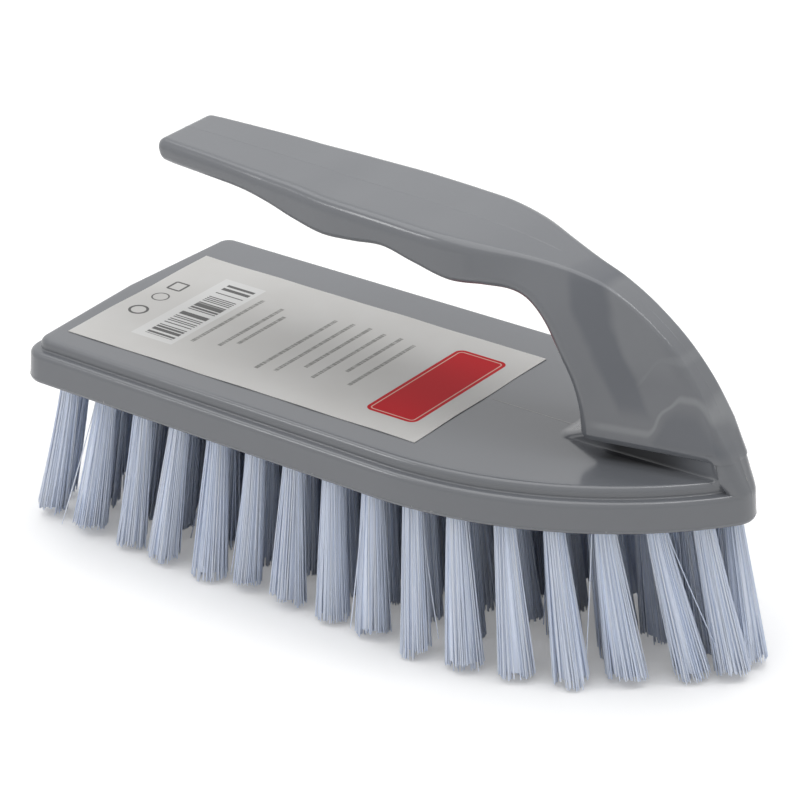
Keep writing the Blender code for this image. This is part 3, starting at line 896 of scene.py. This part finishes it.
def rule(x_mid, y_low, y_high, seed):
    """A line of dashes of uneven length, as plain as a ruled line."""
    run = printed.node("ShaderNodeTexNoise", ONE_LINE, {"W": y * 0.9 + seed, "Detail": 1.0})
    return box(x_mid - RULE_HALF, x_mid + RULE_HALF, y_low, y_high) * run.rises(0.38, 0.42)


cell = (y * BARS_PER_MM).maths("FLOOR")
stripe = printed.node("ShaderNodeTexWhiteNoise", ONE_LINE, {"W": cell}, "Value")
bars = stripe.rises(0.50, 0.52) * box(*BARS)
patch = box(*PATCH)
marks = ring(*RINGS[0]).most(ring(*RINGS[1]))
marks = marks.most(abs(rounded_box(*SQUARE)).rises(0.30, 0.20))
rules = rule(*RULE_BY_BARS, 1.0)
for k, ends in enumerate(RULES):
    rules = rules.most(rule(*ends, k * 37.0))
block_edge = rounded_box(*RED_BLOCK)
red_block = block_edge.rises(SOFT, -SOFT)
border = abs(block_edge + BORDER_INSET).rises(0.16, 0.08)
grain = printed.noise(place, 2200.0, 3.0)
fleck = printed.noise(place, 90.0, 2.0)
paper = printed.blend(fleck.rises(0.3, 0.8) * 0.25, PAPER, WHITE)
paper = printed.blend(patch, paper, WHITE)
paper = printed.blend(rules * 0.8, paper, RULE)
paper = printed.blend(bars.most(marks) * 0.85, paper, INK)
paper = printed.blend(red_block, paper, RED)
paper = printed.blend(border, paper, BORDER)
printed.set(
    Base_Color=paper,
    Roughness=0.42 + grain * 0.1 - red_block * 0.1,
    Specular_IOR_Level=0.06,
    Normal=printed.bump(grain, 0.000006),
)
print("label finish:", len(printed.tree.nodes), "nodes")

# %% [markdown]
# The sheet itself is a fine grid, so that it can lie a little unevenly, as a sticker put on by
# hand does. Solidify gives it the thickness of paper.

# %% Label sheet
SHEET = 0.00011
LIFT = 0.00002
LABEL_CELLS = (66, 35)
SIDE_WAVE = 0.00012
END_WAVE = 0.00015
EDGE_BOW = 0.00003

size = label_high - label_low
sheet_mesh = bmesh.new()
bmesh.ops.create_grid(sheet_mesh, x_segments=LABEL_CELLS[0], y_segments=LABEL_CELLS[1], size=0.5)
for vert in sheet_mesh.verts:
    u, v = vert.co.x, vert.co.y
    edge_share = max(abs(u), abs(v)) * 2
    flat = Vector((u * size.x, v * size.y))
    flat.y += SIDE_WAVE * math.sin(u * 19) * abs(v)
    flat.x += END_WAVE * math.sin(v * 13 + 1) * abs(u)
    flat.rotate(Matrix.Rotation(LABEL_TURN, 2))
    bow = EDGE_BOW * (1 + math.sin(u * 31 + v * 9)) * edge_share ** 12
    vert.co = (label_centre.x + flat.x, label_centre.y + flat.y, PLATE_Z + LIFT + bow)
label = mesh_piece("label_sheet", sheet_mesh)
label.data.shade_flat()
thick = label.modifiers.new("Paper", "SOLIDIFY")
thick.thickness = SHEET
thick.offset = 1
label.data.materials.append(printed.material)
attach(label, "root")
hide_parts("label")
print("label sheet:", [round(v * 1000, 1) for v in size[:2]], "mm")

# %% [markdown]
# Bristle is drawn filament: pale blue, milky, and clear enough to glow a little where light comes
# from behind. A strand's own shade is stored on its points, so that neighbours differ, and the
# material mixes a surface that sends light back with one that lets it through. A shade below zero
# marks the packed middle of a tuft, which lets nothing through.

# %% Finish of the bristle
BLUE = colour(0.70, 0.795, 0.99)
BLUE_PALE = colour(0.90, 0.935, 1.0)
THROUGH = colour(0.91, 0.945, 1.0)
CLEAR = 0.10

filament = Finish("pale_blue_filament")
shade = filament.node("ShaderNodeAttribute", {"attribute_name": "shade"}, {}, "Fac")
streak = filament.noise(filament.place(), 300.0, 2.0)
packed = shade.rises(0.0, -0.01)
strand_colour = filament.blend(abs(shade) * 0.75 + streak * 0.25, BLUE, BLUE_PALE)
filament.set(Base_Color=strand_colour, Roughness=0.34 + streak * 0.12)
glow = filament.node("ShaderNodeBsdfTranslucent", {}, {"Color": THROUGH})
body = Signal(filament, filament.shader.outputs["BSDF"])
mixed = filament.node("ShaderNodeMixShader", {}, {0: (1 - packed) * CLEAR, 1: body, 2: glow})
filament.feed(filament.tree.nodes["Material Output"].inputs["Surface"], mixed)
print("bristle finish:", len(filament.tree.nodes), "nodes")

# %% [markdown]
# A tuft leaves its hole as a tight bundle and fans out towards the floor, and the whole field
# fans out with it. How the tufts of the near line stand can be read from the photograph, so they
# have a table, which the far line mirrors. The others follow the rule that the table shows:
# upright just behind the middle, and leaning further the nearer they are to the ends.

# %% How the tufts stand
BUNDLE_RADIUS = 0.0017
TIP_RADIUS = 0.0034
TIP_SPREAD = (0.88, 1.08)
LEAN_SCATTER = 0.0004
UPRIGHT = 0.070
SIDE_LEAN = 0.0014
REAR_LEAN = 0.0078
NOSE_LEAN = 0.0084
NEAR_LINE = (
    # along the block, across it and radius at the tips, all in millimetres
    (-7.2, 0.8, 2.9), (-5.9, -0.4, 3.7), (-3.7, -0.9, 3.1), (-4.0, -1.6, 3.4),
    (-1.7, -1.7, 3.5), (-2.2, -0.9, 2.9), (-1.1, -0.9, 3.7), (0.4, -0.9, 3.4),
    (0.9, -1.1, 3.6), (2.8, -2.8, 3.0), (3.8, -2.6, 3.8), (4.9, -2.0, 3.7),
    (6.3, -1.7, 3.5), (6.0, 0.9, 4.0), (7.8, 3.2, 3.6), (7.2, 1.8, 3.4),
)


def scatter(chance, spread):
    return Vector((chance.gauss(0, spread), chance.gauss(0, spread)))


def stance(tuft, chance):
    """Lean of a tuft's tips from its hole, and their radius."""
    ahead = tuft.x - UPRIGHT
    run = LENGTH - UPRIGHT if ahead > 0 else UPRIGHT
    reach = NOSE_LEAN if ahead > 0 else REAR_LEAN
    lean = Vector((reach * ahead / run, SIDE_LEAN * tuft.y / HALF))
    lean += scatter(chance, LEAN_SCATTER)
    radius = TIP_RADIUS * chance.uniform(*TIP_SPREAD)
    for edge_tuft, (along, across, tip) in zip(outer, NEAR_LINE):
        if (tuft.x, abs(tuft.y)) == (edge_tuft.x, edge_tuft.y):
            inwards = across if tuft.y < 0 else -across
            return Vector((along, inwards)) * MM, tip * MM
    return lean, radius


print("the near line leans from", NEAR_LINE[0][0], "to", NEAR_LINE[-1][0], "mm along the block")

# %% [markdown]
# In the middle of a tuft the filaments lie packed, and no light gets in between them. That heart
# is one ribbed bundle. The strands that show are modelled one by one: a shell of slim tubes laid
# round the heart, more of them inside it that come out at its end, and a few that stray across to
# their neighbours. They cling together in a few locks, and a blade trimmed each lock unevenly.

# %% Strands and hearts
SHELL_STRANDS = 78
INNER_STRANDS = 60
STRAND_RADIUS = 0.00015
STRAND_CORNERS = ((1, 0), (0, 1), (-1, 0), (0, -1))
STRAND_BOW = 0.00010
STRAND_TONE = (0.5, 0.24)
SHELL_OUT = (0.87, 1.04)
WANDER = 0.00012
STRAY_SHARE = 0.02
STRAY_WANDER = 0.0013
STRAY_RISE = 0.003
LOCKS = 8
LOCK_OUT = (0.4, 1.0)
LOCK_PULL = 0.46
TRIM = 0.0011
TIP_Z = 0.0001
SPANS = 4
FAN_POWER = 1.08
HEART_SHARE = 0.90
HEART_TAPER = 0.16
HEART_RIBS = 32
HEART_END = 0.0020
RIB_OUT = (0.93, 1.0)
RIB_TONE = (0.15, 0.75)
ROOT_DEPTH = 0.0030
ROOT_Z = UNDER_Z + ROOT_DEPTH
GOLDEN = math.pi * (3 - math.sqrt(5))


def turned_to(angle):
    return Vector((math.cos(angle), math.sin(angle)))


def tuft_strands(tuft, lean, radius, chance):
    """Start, end, height of the end, bend and shade of each strand of one tuft."""
    locks = [
        chance.uniform(*LOCK_OUT) * turned_to(chance.uniform(0, math.tau)) for _ in range(LOCKS)
    ]
    lifts = [abs(chance.gauss(0, TRIM)) for _ in range(LOCKS)]
    for n in range(SHELL_STRANDS + INNER_STRANDS):
        shell = n < SHELL_STRANDS
        out = chance.uniform(*SHELL_OUT) if shell else SHELL_OUT[0] * math.sqrt(chance.random())
        spot = out * turned_to(n * GOLDEN + chance.uniform(-0.03, 0.03))
        nearest = min(range(LOCKS), key=lambda i: (locks[i] - spot).length)
        end = spot.lerp(locks[nearest], LOCK_PULL * chance.random())
        stray = chance.random() < STRAY_SHARE
        tip = tuft + lean + end * radius + scatter(chance, STRAY_WANDER if stray else WANDER)
        tip_z = TIP_Z + lifts[nearest] + abs(chance.gauss(0, TRIM / 2))
        tip_z += stray * chance.uniform(0, STRAY_RISE)
        bow = scatter(chance, STRAND_BOW)
        tone = min(max(chance.gauss(*STRAND_TONE), 0), 1)
        yield tuft + spot * BUNDLE_RADIUS, tip, tip_z, bow, tone


def tube_faces(first, sides, spans):
    """Faces of a tube of rings of points, with its lower end closed."""
    faces = []
    for k in range(spans):
        low = first + sides * k
        for i in range(sides):
            j = (i + 1) % sides
            faces.append((low + i, low + j, low + sides + j, low + sides + i))
    last = first + sides * spans
    faces.append(tuple(reversed(range(last, last + sides))))
    return faces


def strand_points(root, tip, tip_z, bow):
    """Points of the rings of one strand, a slim square tube."""
    points = []
    for k in range(SPANS + 1):
        t = k / SPANS
        middle = root + (tip - root) * t ** FAN_POWER + bow * math.sin(math.pi * t)
        z = ROOT_Z + (tip_z - ROOT_Z) * t
        for corner in STRAND_CORNERS:
            points.append(stand(middle + STRAND_RADIUS * Vector(corner), z))
    return points


def heart_points(tuft, lean, radius, chance):
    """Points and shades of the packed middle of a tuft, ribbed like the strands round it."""
    ribs = [(chance.uniform(*RIB_OUT), chance.uniform(*RIB_TONE)) for _ in range(HEART_RIBS)]
    points, shades = [], []
    for k in range(SPANS + 1):
        t = k / SPANS
        z = ROOT_Z + (HEART_END - ROOT_Z) * t
        fan = t ** FAN_POWER
        swell = BUNDLE_RADIUS + (radius - BUNDLE_RADIUS) * fan
        swell *= HEART_SHARE - HEART_TAPER * t ** 3
        for i, (rib, tone) in enumerate(ribs):
            spot = tuft + lean * fan + turned_to(math.tau * i / HEART_RIBS) * rib * swell
            points.append(stand(spot, z))
            shades.append(-tone)
    return points, shades


print("a tuft has", SHELL_STRANDS + INNER_STRANDS, "strands round and through its heart")

# %% Tufts, row by row
total = 0
for name, tufts in zip(rows, field):
    chance = random.Random(name)
    points, faces, shades = [], [], []
    for tuft in tufts:
        lean, radius = stance(tuft, chance)
        faces += tube_faces(len(points), HEART_RIBS, SPANS)
        heart, tones = heart_points(tuft, lean, radius, chance)
        points += heart
        shades += tones
        for root, tip, tip_z, bow, tone in tuft_strands(tuft, lean, radius, chance):
            faces += tube_faces(len(points), len(STRAND_CORNERS), SPANS)
            points += strand_points(root, tip, tip_z, bow)
            shades += [tone] * (len(STRAND_CORNERS) * (SPANS + 1))
    mesh = bpy.data.meshes.new(name)
    mesh.from_pydata(points, [], faces)
    mesh.attributes.new("shade", "FLOAT", "POINT").data.foreach_set("value", shades)
    mesh.shade_smooth()
    mesh.materials.append(filament.material)
    row = bpy.data.objects.new(name.replace("tuft_row", "filaments"), mesh)
    bpy.context.scene.collection.objects.link(row)
    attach(row, "root")
    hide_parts(name)
    total += len(faces)
print("bristles:", total, "faces in", len(rows), "rows")

# %% [markdown]
# The studio is plain: a white floor under a white surround that is a little dimmer on the side of
# the nose, a broad soft light overhead, a small one in front that draws the bright lines along
# the edges, and a strip that the ridge of the handle mirrors. Paper white to the camera comes
# from Light Path, so the lamps can stay at the level at which a colour looks as it is written,
# and the floor still takes the shadow of the brush.

# %% Floor
FLOOR_GREY = colour(0.88, 0.88, 0.88)
FLOOR_GLOW = 0.20
FLOOR_SIZE = 4.0
FLOOR_DROP = 0.0002

floor_mesh = bmesh.new()
bmesh.ops.create_grid(floor_mesh, x_segments=1, y_segments=1, size=FLOOR_SIZE)
floor = mesh_piece("floor", floor_mesh)
floor.location.z = -FLOOR_DROP
floor_finish = Finish("white_floor")
ray = {name: floor_finish.node("ShaderNodeLightPath", {}, {}, name)
       for name in ("Is Camera Ray", "Is Glossy Ray", "Is Transmission Ray")}
seen = ray["Is Camera Ray"].most(ray["Is Glossy Ray"]).most(ray["Is Transmission Ray"])
dark = colour(0, 0, 0)
glow = colour(FLOOR_GLOW, FLOOR_GLOW, FLOOR_GLOW)
floor_finish.set(Base_Color=FLOOR_GREY, Roughness=0.9, Specular_IOR_Level=0.0)
floor_finish.set(Emission_Color=floor_finish.blend(seen, dark, glow), Emission_Strength=1.0)
floor.data.materials.append(floor_finish.material)
floor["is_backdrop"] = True
print("floor is laid")

# %% Surround and lamps
ZENITH = 1.0
HORIZON = 0.38
SIDE_DROP = -0.16
MATHS = "ShaderNodeMath"
LARGER = {"operation": "MAXIMUM"}

world = bpy.data.worlds.new("surround")
bpy.context.scene.world = world
world.use_nodes = True
tree = world.node_tree


def world_node(kind, settings, sockets):
    """Adds a node of the surround and returns its outputs."""
    made = tree.nodes.new(kind)
    for name, value in settings.items():
        setattr(made, name, value)
    for name, value in sockets.items():
        if hasattr(value, "links"):
            tree.links.new(value, made.inputs[name])
        else:
            made.inputs[name].default_value = value
    return made.outputs


rays = world_node("ShaderNodeLightPath", {}, {})
seen = world_node(MATHS, LARGER, {0: rays["Is Camera Ray"], 1: rays["Is Glossy Ray"]})[0]
seen = world_node(MATHS, LARGER, {0: seen, 1: rays["Is Transmission Ray"]})[0]
look = world_node("ShaderNodeTexCoord", {}, {})["Generated"]
toward = world_node("ShaderNodeSeparateXYZ", {}, {"Vector": look})
climb = {"Value": toward["Z"], "To Min": HORIZON, "To Max": ZENITH}
level = world_node("ShaderNodeMapRange", {}, climb)[0]
tilt = {0: toward["X"], 1: SIDE_DROP, 2: level}
level = world_node(MATHS, {"operation": "MULTIPLY_ADD"}, tilt)[0]
white = world_node("ShaderNodeMix", {"data_type": "FLOAT"}, {0: seen, 2: level, 3: 1.0})[0]
background = tree.nodes["Background"]
background.inputs["Color"].default_value = colour(1, 1, 1)
tree.links.new(white, background.inputs["Strength"])


def softbox(name, place, aim, size, power):
    light = bpy.data.objects.new(name, bpy.data.lights.new(name, "AREA"))
    bpy.context.scene.collection.objects.link(light)
    light.location = place
    light.rotation_euler = (Vector(aim) - Vector(place)).to_track_quat("-Z", "Y").to_euler()
    light.data.shape = "RECTANGLE"
    light.data.size, light.data.size_y = size
    light.data.energy = power


# name, place, the point it faces, size and power
softbox("overhead", (-0.15, 0.15, 1.0), (0, 0, 0), (1.0, 1.0), 3.6)
softbox("front", (-0.55, -0.52, 0.80), (0, 0, 0.03), (0.20, 0.20), 0.7)
softbox("ridge", (0.38, 0.22, 0.95), (0.05, 0, 0.06), (0.08, 0.55), 0.9)
bpy.context.scene.view_settings.view_transform = "Standard"
print("the surround gives", HORIZON, "at the horizon and", ZENITH, "overhead")

# %% Finish
boxes = {"cad": cad_box, "visual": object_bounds()}
{name: [[float(v) for v in corner] for corner in pair] for name, pair in boxes.items()}
